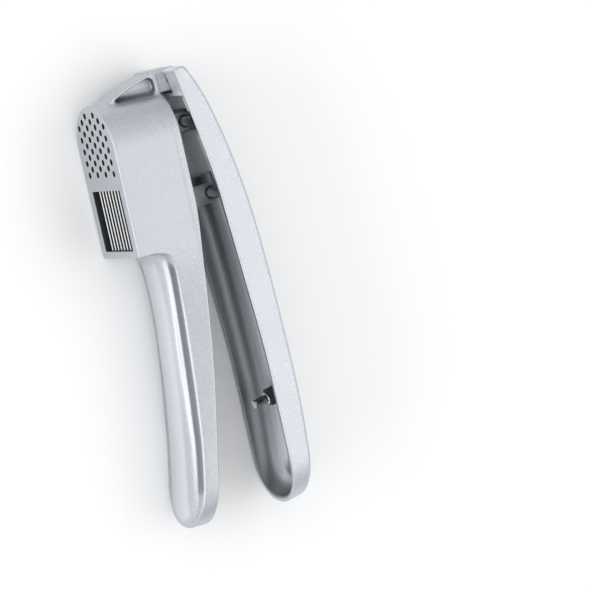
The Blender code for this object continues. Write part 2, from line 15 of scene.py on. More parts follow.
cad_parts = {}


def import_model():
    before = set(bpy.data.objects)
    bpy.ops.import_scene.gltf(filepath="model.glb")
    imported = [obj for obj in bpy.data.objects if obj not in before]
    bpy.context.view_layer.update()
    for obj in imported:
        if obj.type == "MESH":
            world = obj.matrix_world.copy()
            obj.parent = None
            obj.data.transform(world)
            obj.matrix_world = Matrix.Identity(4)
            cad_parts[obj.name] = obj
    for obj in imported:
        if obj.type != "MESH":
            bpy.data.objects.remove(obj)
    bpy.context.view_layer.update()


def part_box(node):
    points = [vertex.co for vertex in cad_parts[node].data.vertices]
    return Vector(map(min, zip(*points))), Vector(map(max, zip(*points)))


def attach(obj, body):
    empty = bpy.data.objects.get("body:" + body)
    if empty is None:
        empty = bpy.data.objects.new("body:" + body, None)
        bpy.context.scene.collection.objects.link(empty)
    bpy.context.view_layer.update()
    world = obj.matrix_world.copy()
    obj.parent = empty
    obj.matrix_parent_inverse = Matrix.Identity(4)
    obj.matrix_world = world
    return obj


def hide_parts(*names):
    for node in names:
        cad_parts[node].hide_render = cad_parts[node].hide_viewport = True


MM = 0.001
COARSE = 0.38      # grid pitch of the castings
FINE = 0.2        # and round the drilled holes
MAX_TRIANGLES = 190000
NORMAL_REACH = 0.6 * COARSE
SKY_RAYS = 24
SKY_STEPS = (0.9, 1.6, 2.6, 4.0, 6.0, 9.0, 13.0, 18.0, 24.0)

# Whole tool
HALF = 19.5                   # half the width of both castings
WALL = 2.2
HINGE = (-37.5, 22.8)
CLOSE_ANGLE = math.radians(11.0)

# Head
FRONT_Y = -15.0
REAR_Y = 15.6
ARCH_X = -14.6
HEAD_END_X = 31.0
PLATE = 2.2
HOLE_RADIUS = 1.25
HOLE_ROWS = (2, 3, 4, 3, 4, 3, 4, 3, 4, 3, 4)
FIRST_ROW_X = -30.0
ROW_PITCH = 2.5
HOLE_PITCH = 8.6
CHAMBER_RADIUS = 17.3
PRESS_END_X = -1.5
SLICER_X = (1.3, 28.5)
SLICER_HALF_WIDTH = 15.6
WINDOW_X = (2.1, 27.7)
WINDOW_HALF_WIDTH = 14.5
BLADE_COUNT = 8
BLADE_PITCH = 3.2
BLADE_THICK = 0.5
BLADE_DEPTH = 3.4
BLADE_INSET = 1.7
BLADE_SEAT = 0.9

# Hinge
PIN_RADIUS = 2.0
KNUCKLE_RADIUS = 5.0
KNUCKLE_HALF_WIDTH = 6.5
TONGUE_HALF_WIDTH = 8.0

# Handles, as distance along and then depth or half width. RIM is the end of a casting's open side, STEP the
# ledge beside its raised panel, FRONT the panel's crest, TAPER how far the flank leans in, PANEL the panel.
BODY_RIM = ((-60, REAR_Y), (0, REAR_Y), (18, 15.4), (38, 13.2), (58, 10.8), (86, 6.6), (115, 0.8),
            (135, -3.4), (152, -7.0))
BODY_STEP = ((31, -5.6), (31.8, -3.2), (34.5, -0.8), (41, 0.1), (52, 0.0), (61, -0.4), (75, -1.5),
             (90, -3.0), (103, -4.6), (114, -6.1), (130, -9.2), (140, -11.6), (152, -14.8))
BODY_FRONT = ((24, -12.0), (31, -6.8), (33, -5.1), (36, -3.9), (42, -3.4), (52, -3.4), (62, -4.0),
              (75, -5.2), (90, -6.5), (103, -8.0), (114, -9.4), (130, -12.1), (140, -13.9), (152, -16.4))
BODY_TAPER = ((0, 0.0), (14, 0.0), (27, 0.0), (40, 1.3), (55, 2.6), (70, 3.0), (84, 2.7), (98, 2.1),
              (114, 1.4), (126, 1.0), (150, 0.6))
BODY_PANEL = ((-20, 13.0), (6, 13.0), (24, 12.9), (40, 12.0), (50, 11.1), (62, 10.4), (83, 10.4), (97, 11.0),
              (106, 11.8), (115, 12.3), (124, 12.5), (150, 12.5))
UPPER_RIM = ((-8, -3.3), (14, -3.7), (45, -5.0), (60, -6.8), (90, -10.6), (120, -14.6), (150, -20.2),
             (170, -24.0), (188, -27.0))
UPPER_STEP = ((-8, -2.5), (-4.6, 1.3), (-3.4, 2.4), (-1.8, 3.0), (1, 3.6), (5, 4.7), (16, 6.2), (34, 6.9),
              (56, 6.2), (80, 3.5), (110, -1.2), (140, -6.6), (164, -12.4), (188, -19.4))
TONGUE_ARCH = ((-14, -30.0), (-9.8, -32.0), (-8.8, -33.8), (-5.9, -35.2), (0.4, -38.0), (8.5, -40.5),
               (15.9, -42.3), (24, -42.6))      # Y, then X
PANEL_HALF_WIDTH = 12.5
PANEL_CROWN = 0.5             # how far the lower panel's middle stands out
BODY_END_X = 128.4
UPPER_END = 165.4
END_SQUARENESS = 2.25
NOSE_POWER = 2.6
BODY_TIP_INSET = 1.6          # from the tip of the lower handle to the tip of its raised panel
UPPER_TIP_INSET = 3.5         # and of the upper handle
UPPER_PANEL_HALF_WIDTH = 14.5
UPPER_RISE = 2.0              # how far the upper panel stands out

# Upper handle root
FORK_END = -4.6
SLOT_END = 5.8
ROOT_START, ROOT_END = 7.5, 43.0
ROOT_FLOOR = 0.6
ROOT_WALL = 1.5
COVER = 0.8                   # least metal between the handle's hollows and its outside
POCKET_HALF, POCKET_FLOOR = 4.8, 4.0
RECESS_END = 170.0
RECESS_WIDTH = ((40, 12.5), (52, 11.5), (64, 10.3), (78, 9.0), (92, 8.0), (106, 7.2), (120, 6.8),
                (134, 6.6), (150, 6.5), (170, 6.5), (190, 6.5))      # distance along, then half width

# Feet
FOOT_PIN_RADIUS = 2.3
LUG_RADIUS = 4.0
LUG_HALF_WIDTH = 2.7
RIB_HALF_THICK, RIB_HALF_LENGTH = 0.9, 11.3
PRESS_PIN = (19.14, -0.56)
SLICE_PIN = (51.22, -2.21)
PRESS_LEAD = 0.76
SLICE_LEAD = 0.64

# Peg
PEG_ALONG = 141.7

# Painted shade and painted light, the latter as a pale matte skin, as shares from 0 to 1
GROOVE_PAINTED_SHADE, FAR_GROOVE_PAINTED_SHADE, FAR_EDGE_PAINTED_SHADE = 0.64, 0.3, 0.2
GROOVE_REACH = (4.8, 1.9)     # how far the groove's painted shade reaches in and out, across its slant
CHANNEL_PAINTED_SHADE = 0.6
FOOT_PAINTED_SHADE = 0.6
PANEL_PAINTED_LIGHT = 0.27
CHANNEL_PAINTED_LIGHT, RECESS_PAINTED_LIGHT = 0.45, 0.4
# The upper handle's tone is lighter than the body's: painted light for its brighter flank.
CASTING_TONE, HANDLE_PAINTED_LIGHT_TONE = 0.575, 0.625
CASTING_TINT = (0.93, 0.975, 1.03)
# dark colour of the painted shade
PAINTED_SHADE_COLOUR = (0.02, 0.021, 0.022)
# pale colour of the painted light
PAINTED_LIGHT_COLOUR = (0.90, 0.92, 0.95)

# Studio, in metres and degrees
CAMERA_PLACE = (-0.09303, -0.53732, 1.29533)
CAMERA_TURN = (-0.420, -25.832, 76.093)
CAMERA_LENS = 202.1


# ---------------------------------------------------------------- outlines
def smooth_curve(points, steps=14):
    """Catmull-Rom curve through the points, as two arrays."""
    ends = [points[0]] + list(points) + [points[-1]]
    curve = []
    for a, b, c, d in zip(ends, ends[1:], ends[2:], ends[3:]):
        for step in range(steps):
            t = step / steps
            curve.append([0.5 * (2 * q + (r - p) * t + (2 * p - 5 * q + 4 * r - s) * t ** 2
                                 + (3 * q - p - 3 * r + s) * t ** 3) for p, q, r, s in zip(a, b, c, d)])
    curve.append(list(points[-1]))
    return np.array(curve, np.float32).T


def outline(points):
    """A function of the distance along a handle, through the outline's points."""
    along, depth = smooth_curve(points)
    return lambda x: np.interp(x, along, depth).astype(np.float32)


def curve_distance(points, x, y):
    """Distance in the XY plane from every sample to the outline: above 0 where y is below the outline."""
    curve = smooth_curve(points, 7).T
    nearest = np.full((x.shape[0], y.shape[1], 1), 1e6, np.float32)
    for start, end in zip(curve, curve[1:]):
        run, rise = end - start
        share = np.clip(((x - start[0]) * run + (y - start[1]) * rise) / (run * run + rise * rise), 0, 1)
        nearest = np.minimum(nearest, (x - start[0] - share * run) ** 2 + (y - start[1] - share * rise) ** 2)
    return np.sqrt(nearest) * np.sign(outline(points)(x) - y)


def middle_of(pair):
    """Middle of a stretch given by its two ends."""
    return (pair[0] + pair[1]) / 2


def ease(t):
    """Soft step from 0 to 1."""
    t = np.clip(t, 0, 1)
    return t * t * (3 - 2 * t)


# ---------------------------------------------------------------- distance fields
def both(a, b, radius):
    """Inside both, with a convex edge of that radius."""
    beyond = np.hypot(np.maximum(a + radius, 0), np.maximum(b + radius, 0))
    return np.minimum(np.maximum(a, b), -radius) + beyond


def either(a, b, radius):
    """Inside either, with a concave fillet of that radius between them."""
    within = np.hypot(np.maximum(radius - a, 0), np.maximum(radius - b, 0))
    return np.maximum(np.minimum(a, b), radius) - within


def cut(a, b, radius):
    """Inside a and outside b, with a rounded edge."""
    return both(a, -b, radius)


def ruler(*stretches):
    """Sample places along one axis, from (start, end, pitch) stretches that follow each other."""
    places = [np.arange(start, end - 0.3 * pitch, pitch) for start, end, pitch in stretches]
    return np.concatenate(places + [[stretches[-1][1]]])


class Grid:
    """Sample places on one half of the tool; the other half is its mirror image."""

    def __init__(self, x, y, w):
        whole = np.concatenate([-w[::-1], w])
        self.axes = (x, y, whole)
        self.x = x.astype(np.float32)[:, None, None]
        self.y = y.astype(np.float32)[None, :, None]
        self.w = w.astype(np.float32)[None, None, :]

    def position(self, places):
        """Places as positions counted in samples."""
        return np.stack([np.interp(places[:, axis], ruled, np.arange(len(ruled)))
                         for axis, ruled in enumerate(self.axes)], axis=1)

    def place(self, positions):
        """Positions counted in samples as places."""
        return np.stack([np.interp(positions[:, axis], np.arange(len(ruled)), ruled)
                         for axis, ruled in enumerate(self.axes)], axis=1)


def sample(field, grid, places):
    """Field value at any places, between the samples."""
    position = grid.position(places)
    base = np.clip(np.floor(position).astype(int), 0, np.array(field.shape) - 2)
    part = position - base
    total = np.zeros(len(places))
    for corner in range(8):
        offset = np.array([corner & 1, corner >> 1 & 1, corner >> 2 & 1])
        weight = np.prod(np.where(offset, part, 1 - part), axis=1)
        index = base + offset
        total += weight * field[index[:, 0], index[:, 1], index[:, 2]]
    return total


def normals_at(field, grid, places, reach):
    """Outward directions of the field at the places."""
    slopes = []
    for axis in range(3):
        step = np.zeros(3)
        step[axis] = reach
        slopes.append(sample(field, grid, places + step) - sample(field, grid, places - step))
    slopes = np.stack(slopes, axis=1)
    return slopes / np.maximum(np.linalg.norm(slopes, axis=1, keepdims=True), 1e-9)


def edge_strength(field, grid, places, reach):
    """How strongly the surface bends outwards: above 0 on convex edges, below 0 in fillets."""
    around = np.zeros(len(places))
    for axis in range(3):
        step = np.zeros(3)
        step[axis] = reach
        around += sample(field, grid, places + step) + sample(field, grid, places - step)
    return (around - 6 * sample(field, grid, places)) / reach


def openness(field, grid, places, normals):
    """Share of the surroundings that each place can see past its own casting, from 0 to 1."""
    golden = math.pi * (3 - math.sqrt(5))
    seen = np.zeros(len(places))
    side = np.cross(normals, np.where(np.abs(normals[:, :1]) < 0.8, [[1.0, 0, 0]], [[0, 1.0, 0]]))
    side /= np.linalg.norm(side, axis=1, keepdims=True)
    other = np.cross(normals, side)
    for ray in range(SKY_RAYS):
        rise = math.sqrt((ray + 0.5) / SKY_RAYS)
        flat = math.sqrt(1 - rise * rise)
        towards = rise * normals + flat * (math.cos(ray * golden) * side + math.sin(ray * golden) * other)
        free = np.ones(len(places), bool)
        for reach in SKY_STEPS:
            index = np.round(grid.position(places + reach * towards)).astype(int)
            free &= field[index[:, 0], index[:, 1], index[:, 2]] > 0
        seen += free
    return seen / SKY_RAYS


def surface_net(field, grid):
    """Points and four-sided faces of the surface where the field is zero."""
    inside = field < 0
    cells = np.zeros(tuple(n - 1 for n in field.shape), np.int8)
    for corner in range(8):
        i, j, k = corner & 1, corner >> 1 & 1, corner >> 2 & 1
        cells += inside[i:i + cells.shape[0], j:j + cells.shape[1], k:k + cells.shape[2]]
    mixed = np.argwhere((cells > 0) & (cells < 8))
    number = np.full(cells.shape, -1, np.int32)
    number[tuple(mixed.T)] = np.arange(len(mixed))
    total = np.zeros((len(mixed), 3))
    count = np.zeros(len(mixed))
    for axis in range(3):
        for first in (0, 1):
            for second in (0, 1):
                start = np.insert([first, second], axis, 0)
                end = start.copy()
                end[axis] = 1
                a = field[tuple((mixed + start).T)].astype(float)
                b = field[tuple((mixed + end).T)].astype(float)
                crossed = (a < 0) != (b < 0)
                share = np.where(crossed, a / np.where(crossed, a - b, 1), 0)
                place = start + np.outer(share, end - start)
                total += np.where(crossed[:, None], place, 0)
                count += crossed
    points = grid.place(mixed + total / count[:, None])
    faces = []
    for axis in range(3):
        before = [slice(None)] * 3
        after = [slice(None)] * 3
        before[axis] = slice(0, -1)
        after[axis] = slice(1, None)
        lower, upper = inside[tuple(before)], inside[tuple(after)]
        crossing = np.argwhere(lower != upper)
        others = [other for other in range(3) if other != axis]
        crossing = crossing[(crossing[:, others[0]] > 0) & (crossing[:, others[1]] > 0)]
        corners = []
        for first, second in ((1, 1), (0, 1), (0, 0), (1, 0)):
            cell = crossing.copy()
            cell[:, others[0]] -= first
            cell[:, others[1]] -= second
            corners.append(number[tuple(cell.T)])
        quads = np.stack(corners, axis=1)
        leaving = lower[tuple(crossing.T)]
        if axis == 1:
            leaving = ~leaving
        quads[~leaving] = quads[~leaving][:, ::-1]
        faces.append(quads)
    return points, np.concatenate(faces)


def cast(name, half_field, grid, place, painted_shading):
    """Mesh of a casting from one half of its field, in millimetres.

    place moves its points into the frame; the last argument gives each point's share left unshaded by painted
    shade and its share of painted light, a pale matte skin. How much sky a point sees is also painted into
    its colour as shade.
    """
    field = np.concatenate([half_field[:, :, ::-1], half_field], axis=2)
    points, faces = surface_net(field, grid)
    mesh = bpy.data.meshes.new(name)
    mesh.from_pydata(points, [], faces)
    item = bpy.data.objects.new(name, mesh)
    bpy.context.scene.collection.objects.link(item)
    thin = item.modifiers.new("thin", "DECIMATE")
    thin.ratio = min(1.0, MAX_TRIANGLES / (2 * len(faces)))
    evaluated = item.evaluated_get(bpy.context.evaluated_depsgraph_get())
    mesh = bpy.data.meshes.new_from_object(evaluated)
    item.modifiers.clear()
    item.data = mesh
    points = np.zeros(len(mesh.vertices) * 3, np.float32)
    mesh.vertices.foreach_get("co", points)
    points = points.reshape(-1, 3).astype(float)
    normals = normals_at(field, grid, points, NORMAL_REACH)
    bend = edge_strength(field, grid, points, 0.7)
    # Painted shade: the sky each point sees, times its share left unshaded, darkens its colour in the
    # material.
    unshaded, painted_light = painted_shading(*points.T)
    sky = openness(field, grid, points, normals) * unshaded
    for attribute_name, values in (("edge", bend), ("sky", sky), ("painted_light", painted_light)):
        attribute = mesh.attributes.new(attribute_name, "FLOAT", "POINT")
        attribute.data.foreach_set("value", values.astype(np.float32))
    turned, directions = place(points, normals)
    mesh.vertices.foreach_set("co", (turned * MM).astype(np.float32).ravel())
    mesh.shade_smooth()
    mesh.normals_split_custom_set_from_vertices(directions)
    mesh.update()
    print(name, len(mesh.polygons), "faces")
    return item


def in_place(points, normals):
    """Moves points drawn about the middle plane into the frame."""
    return points + np.array([0, 0, HALF]), normals


def turned_about(pin, angle):
    """A function that turns points drawn about a pin by the angle and moves them to the pin's place."""
    cosine, sine = math.cos(angle), math.sin(angle)
    turn = np.array([[cosine, -sine, 0], [sine, cosine, 0], [0, 0, 1]])

    def place(points, normals):
        return points @ turn.T + np.array([pin[0], pin[1], HALF]), normals @ turn.T
    return place


# ---------------------------------------------------------------- castings
def rounded_end(x, w, end, radius, squareness=2.0):
    """Plan distance of a handle: straight sides, then a round end."""
    past = np.maximum(x - end, 0)
    if squareness == 2.0:
        return np.hypot(past, w) - radius
    return (past ** squareness + w ** squareness) ** (1 / squareness) - radius


def arched_end(x, w, arch_x, radius):
    """Plan distance of the head and what fits in it: a round arch up to arch_x, then straight sides."""
    return np.where(x < arch_x, np.hypot(x - arch_x, w), w) - radius


def nose(x, y, w, end, half_width, crest, base):
    """A raised panel with a bowed front: its crest at one depth, its foot at another."""
    spread_out = np.hypot(np.maximum(x - end, 0), w) / half_width
    height = base - crest
    lift = np.maximum(base - y, 0) / height
    size = np.maximum((spread_out ** NOSE_POWER + lift ** NOSE_POWER) ** (1 / NOSE_POWER), 1e-4)
    steep = np.hypot(spread_out ** (NOSE_POWER - 1) / half_width, lift ** (NOSE_POWER - 1) / height)
    inside = (size - 1) * np.minimum(height, half_width)
    return np.where(size > 0.7, (size - 1) * size ** (NOSE_POWER - 1) / np.maximum(steep, 0.05), inside)


def body_handle(x, y, w, wall):
    """The lower handle: flanks and ledge, then its bowed panel. With a wall, the hollow inside it."""
    rim, step, front = outline(BODY_RIM), outline(BODY_STEP), outline(BODY_FRONT)
    depth = np.clip((rim(x) - y) / 12.0, 0, 1.1)
    inset = np.maximum(outline(BODY_TAPER)(x), 0) * depth
    plan = rounded_end(x, w + inset, BODY_END_X, HALF, END_SQUARENESS) + wall
    half_width = outline(BODY_PANEL)(x) - wall
    panel_end = BODY_END_X + HALF - BODY_TIP_INSET - PANEL_HALF_WIDTH
    crest = front(x) - 0.3 + wall + PANEL_CROWN * np.minimum(w / half_width, 1) ** 2
    raised = nose(x, y, w, panel_end, half_width, crest, step(x) + 0.6 + wall)
    return plan, curve_distance(BODY_STEP, x, y) + wall, raised


def build_body():
    """The head with its chambers, the tongue and knuckle of the hinge, and the lower handle."""
    grid = Grid(ruler((-44.5, -32.0, COARSE), (-32.0, -3.0, FINE), (-3.0, 149.8, COARSE)),
                ruler((-17.0, -15.6, COARSE), (-15.6, -12.4, 0.8 * FINE), (-12.4, 29.0, COARSE)),
                ruler((0.5 * FINE, 14.9, FINE), (14.9, HALF + 1.2, COARSE)))
    x, y, w = grid.x, grid.y, grid.w
    head_plan = arched_end(x, w, ARCH_X, HALF)
    plan, step, raised = body_handle(x, y, w, 0.0)
    lateral = np.where(x < ARCH_X, head_plan, plan)
    head_profile = both(x - HEAD_END_X, FRONT_Y - y, 1.0)
    profile = either(head_profile, np.maximum(step, HEAD_END_X - 5 - x), 1.5)
    solid = both(lateral, profile, 0.9 + 0.5 * ease((x - HEAD_END_X - 3) / 6))
    solid = either(solid, both(raised, 24 - x, 1.0), 1.2)
    arch = outline(TONGUE_ARCH)
    arch_slope = arch(y + 0.5) - arch(y - 0.5)
    arch_side = (arch(y) - x) / np.sqrt(1 + arch_slope ** 2)
    tongue = both(w - TONGUE_HALF_WIDTH, arch_side, 0.9)
    tongue = np.maximum(np.maximum(tongue, x + 22), FRONT_Y + 1.5 - y)
    solid = either(solid, tongue, 1.0)
    solid = both(solid, -curve_distance(BODY_RIM, x, y), 0.5)
    knuckle = np.where(y < HINGE[1], np.abs(x - HINGE[0]), np.hypot(x - HINGE[0], y - HINGE[1]))
    knuckle = np.maximum(both(w - KNUCKLE_HALF_WIDTH, knuckle - KNUCKLE_RADIUS, 0.7), 12 - y)
    solid = either(solid, knuckle, 0.7)
    pocket = both(both(arch_side + 1.3, y - 13.8, 3.5), 4.4 - w, 0.8)
    solid = cut(solid, both(pocket, -head_plan + 0.05, 2.2), 0.5)
    for hollow, radius in body_hollows(x, y, w):
        solid = cut(solid, hollow, radius)
    return cast("body_casting", solid.astype(np.float32), grid, in_place, body_painted_shading)


def body_painted_shading(x, y, w):
    """Painted shade on the head's inside, its holes, the handle's groove and its far edge.

    Far is the side that the tool lies on. Painted light, a pale matte skin, lies along the middle of the
    handle's panel, strongest a little to the near side. Returns the share left unshaded and the share of
    painted light.
    """
    across, far, w = w, w < 0, np.abs(w)
    # Painted shade inside the head and down its holes.
    within = ease((-0.9 - arched_end(x, w, ARCH_X, HALF)) / 0.3) * ease((HEAD_END_X - 0.8 - x) / 0.4)
    within *= ease((y - FRONT_Y - 0.02) / 0.12) * (1 - ease((y - 4) / 10))
    holes = hole_field(x, w)
    within = np.maximum(within, ease((0.16 - holes) / 0.1) * (y < FRONT_Y + PLATE + 1))
    # Painted shade along the groove beside the panel, and along the far edge.
    inset = np.maximum(outline(BODY_TAPER)(x), 0)
    plan = rounded_end(x, w + inset, BODY_END_X, HALF, END_SQUARENESS)
    lift = y - outline(BODY_STEP)(x)
    slant = lift + 0.5 * plan
    length = ease((x - 33) / 6) * (1 - ease((x - 130) / 9))
    groove = ease((slant + GROOVE_REACH[0]) / 2.6) * ease((GROOVE_REACH[1] - slant) / 2.6) * length
    edge = far * ease((plan + 5) / 2) * ease((2.5 - lift) / 1.5) * length
    # Painted light, a pale matte skin, along the panel, stronger towards the near side.
    panel = ease((-0.8 - lift) / 1.2) * ease((x - 33) / 6)
    unshaded = (1 - np.where(far, FAR_GROOVE_PAINTED_SHADE, GROOVE_PAINTED_SHADE) * groove) * (1 - FAR_EDGE_PAINTED_SHADE * edge)
    painted_light = panel * np.clip(PANEL_PAINTED_LIGHT + 0.02 * across, 0, 1) * (1 - ease((across - 5.5) / 3.5))
    return (1 - within) * unshaded, painted_light


def body_hollows(x, y, w):
    """Everything cut out of the body, each with the rounding of its mouth."""
    chamber = both(arched_end(x, w, ARCH_X, CHAMBER_RADIUS), x - PRESS_END_X, 1.2)
    yield both(chamber, FRONT_Y + PLATE - y, 0.8), 0.5
    middle = middle_of(SLICER_X)
    slicer = both(np.abs(x - middle) - (SLICER_X[1] - middle), w - SLICER_HALF_WIDTH, 1.0)
    yield np.maximum(slicer, FRONT_Y + BLADE_INSET + BLADE_DEPTH + 0.3 - y), 0.5
    middle, half_length = middle_of(WINDOW_X), (WINDOW_X[1] - WINDOW_X[0]) / 2
    along = np.abs(x - middle) - half_length
    yield both(along, w - WINDOW_HALF_WIDTH, 0.5), 0.3
    nearest = (np.floor(w / BLADE_PITCH) + 0.5) * BLADE_PITCH
    slots = np.maximum(np.abs(w - nearest) - BLADE_THICK / 2 - 0.25, along - BLADE_SEAT)
    slots = np.maximum(slots, w - (BLADE_COUNT / 2) * BLADE_PITCH)
    yield np.maximum(slots, FRONT_Y + BLADE_INSET - 0.3 - y), 0.05
    plan, step, raised = body_handle(x, y, w, WALL)
    hollow = both(both(plan, step, 2.0), w - 9.5, 2.0)
    hollow = either(hollow, raised, 0.8)
    yield both(hollow, HEAD_END_X + 3 - x, 2.0), 0.6
    yield np.hypot(x - HINGE[0], y - HINGE[1]) - PIN_RADIUS - 0.2, 0.2
    yield hole_field(x, w), 0.1


def hole_field(x, w):
    """Plan distance to the nearest drilled hole."""
    nearest = np.full(np.broadcast_shapes(x.shape, w.shape), 99.0, np.float32)
    for row, count in enumerate(HOLE_ROWS):
        for column in range(count):
            across = abs(column - (count - 1) / 2) * HOLE_PITCH
            centre = FIRST_ROW_X + row * ROW_PITCH
            nearest = np.minimum(nearest, np.hypot(x - centre, w - across) - HOLE_RADIUS)
    return nearest


def build_upper_handle():
    """The channel-shaped upper handle, drawn about the hinge with its length along X."""
    grid = Grid(ruler((-6.0, 187.5, COARSE)), ruler((-31.0, 12.0, COARSE)),
                ruler((0.5 * COARSE, HALF + 1.2, COARSE)))
    x, y, w = grid.x, grid.y, grid.w
    step = outline(UPPER_STEP)
    back = -curve_distance(UPPER_STEP, x, y)
    rim = curve_distance(UPPER_RIM, x, y)
    rise = UPPER_RISE * ease((x - 10) / 20) + 0.01
    draft = 0.4 * np.clip((step(x) - y) / -12 + 1, 0, 1)
    plan = rounded_end(x, w + draft, UPPER_END, HALF, END_SQUARENESS)
    panel_end = UPPER_END + HALF - UPPER_TIP_INSET - UPPER_PANEL_HALF_WIDTH
    solid = both(plan, back, 1.6)
    crest = step(x) + rise + 0.3
    raised = nose(x, -y, w, panel_end, UPPER_PANEL_HALF_WIDTH, -crest, -(step(x) - 1.6))
    solid = either(solid, both(raised, 12 - x, 1.0), 0.9)
    solid = both(solid, FORK_END - x, 0.9)
    cover = np.maximum(solid, -30 - y) + COVER
    solid = both(solid, rim, 0.5)
    for hollow, radius in upper_hollows(x, y, w, step(x) + rise, back, rim):
        solid = cut(solid, both(hollow, cover, 0.6), radius)
    for bore in upper_bores(x, y, w):
        solid = cut(solid, bore, 0.15)
    return cast("upper_handle_casting", solid.astype(np.float32), grid, turned_about(HINGE, CLOSE_ANGLE),
                upper_painted_shading)


def upper_painted_shading(x, y, w):
    """Painted shade on the channel's walls; painted light, a pale matte skin, on its floor and its root.

    Returns the share left unshaded and the share of painted light.
    """
    w = np.abs(w)
    plan = rounded_end(x, w, UPPER_END, HALF, END_SQUARENESS)
    inner = ease((-1.2 - plan) / 0.5) * ease((outline(UPPER_STEP)(x) - 0.6 - y) / 1.0)
    # Painted shade on the channel's side walls.
    wall = inner * ease((plan + 9) / 5) * ease((x - ROOT_END) / 4)
    # Painted light, a pale matte skin, in the root and on the channel's floor, more in the recess.
    root = ease((ROOT_END + 3 - x) / 2) * (0.4 + 0.6 * ease((x - 4) / 4))
    recess = ease((outline(RECESS_WIDTH)(x) + 1.2 - w) / 2.0)
    painted_skin = (CHANNEL_PAINTED_LIGHT + RECESS_PAINTED_LIGHT * recess) * (inner - wall) * ease((x - ROOT_END) / 4)
    return 1 - CHANNEL_PAINTED_SHADE * wall, np.maximum(inner * root, painted_skin)


def upper_bores(x, y, w):
    """Bores of the three cross pins, blind at the flanks."""
    blind = w - (HALF - 0.9)
    pins = ((PRESS_PIN, FOOT_PIN_RADIUS), (SLICE_PIN, FOOT_PIN_RADIUS), ((0, 0), PIN_RADIUS))
    for centre, radius in pins:
        yield np.maximum(np.hypot(x - centre[0], y - centre[1]) - radius - 0.15, blind)


def upper_hollows(x, y, w, crest, back, rim):
    """Everything cut out of the upper handle, each with the rounding of its mouth."""
    yield both(w - (KNUCKLE_HALF_WIDTH + 0.3), x - SLOT_END, 1.0), 0.5
    plan = rounded_end(x, w, UPPER_END, HALF, END_SQUARENESS) + WALL
    ledge = both(plan, back + WALL + 0.2, 7.0)
    recess = rounded_end(x, w, RECESS_END, outline(RECESS_WIDTH)(x))
    recess = both(recess, y - crest + 0.6, 2.0)
    yield both(either(ledge, recess, 3.5), ROOT_END - x, 3.0), 0.6
    inner = w - (HALF - ROOT_WALL)
    root = both(ROOT_START - x, x - ROOT_END - 2, 0.5)
    yield both(both(inner, y - ROOT_FLOOR, 9.0), root, 1.0), 0.5
    yield both(both(inner, -rim - 0.9, 0.5), both(-3.2 - x, x - ROOT_START - 1, 0.5), 0.5), 0.4
    yield both(both(inner, np.abs(x - PRESS_PIN[0]) - POCKET_HALF, 1.0), y - POCKET_FLOOR, 1.5), 0.4


def rest_turn(along, depth):
    """X and Y at rest of a place on the upper handle."""
    cosine, sine = math.cos(CLOSE_ANGLE), math.sin(CLOSE_ANGLE)
    return HINGE[0] + along * cosine - depth * sine, HINGE[1] + along * sine + depth * cosine


def build_foot(name, pin, lead, plate_x, face, thickness, half_width, round_top, stem_half, ribs):
    """A foot: plate, flared stem and a lug with an eye, drawn with its pin at the origin."""
    pitch = 0.8 * COARSE
    grid = Grid(ruler((min(plate_x[0], -8) - 1, max(plate_x[1], 8) + 1, pitch)), ruler((face - 5, 6, pitch)),
                ruler((0.5 * pitch, half_width + 1.5, pitch)))
    x, y, w = grid.x, grid.y, grid.w
    centre, back = middle_of(plate_x), face + thickness
    if round_top is None:
        plan = both(np.abs(x - centre) - (plate_x[1] - centre), w - half_width, 1.0)
    else:
        plan = both(arched_end(x, w, round_top, half_width), x - plate_x[1], 1.0)
    solid = both(plan, np.abs(y - (face + thickness / 2)) - thickness / 2, 0.5)
    share = np.clip(y / back, 0, 1)
    half = LUG_RADIUS + (stem_half - LUG_RADIUS) * ease(share)
    stem = np.maximum(np.abs(x - centre * ease(share)) - half, y)
    lug = np.minimum(np.hypot(x, y) - LUG_RADIUS, np.maximum(stem, face + 1 - y))
    thick = LUG_HALF_WIDTH + 1.6 * share ** 2
    solid = either(solid, both(lug, w - thick, 0.7), 1.0)
    if ribs:
        nearest = np.round(w / BLADE_PITCH) * BLADE_PITCH
        rib = np.maximum(np.abs(x - centre) - RIB_HALF_LENGTH, y - face - 1)
        rib = both(np.abs(w - nearest) - RIB_HALF_THICK, rib, 0.2)
        rib = np.maximum(np.maximum(rib, face - BLADE_DEPTH - 0.4 - y), w - half_width)
        solid = np.minimum(solid, rib)
    solid = cut(solid, np.hypot(x, y) - FOOT_PIN_RADIUS - 0.2, 0.3)
    place = turned_about(rest_turn(*pin), (1 - lead) * CLOSE_ANGLE)

    # Painted shade on the plate, its ribs and the foot of the stem; no painted light.
    def painted_shading(along, depth, across):
        return 1 - FOOT_PAINTED_SHADE * ease((back + 2.5 - depth) / 2), 0 * along
    return cast(name, solid.astype(np.float32), grid, place, painted_shading)


def build_press_foot():
    """The foot with a round plate that fills the pressing chamber."""
    pin_x, pin_y = HINGE[0] + PRESS_PIN[0], HINGE[1] + PRESS_PIN[1]
    top = ARCH_X - 0.8 - pin_x
    face = FRONT_Y + PLATE + 0.4 - pin_y
    return build_foot("press_foot_casting", PRESS_PIN, PRESS_LEAD, (top - 16.0, -4.0 - pin_x), face,
                      thickness=4.0, half_width=16.0, round_top=top, stem_half=7.0, ribs=False)


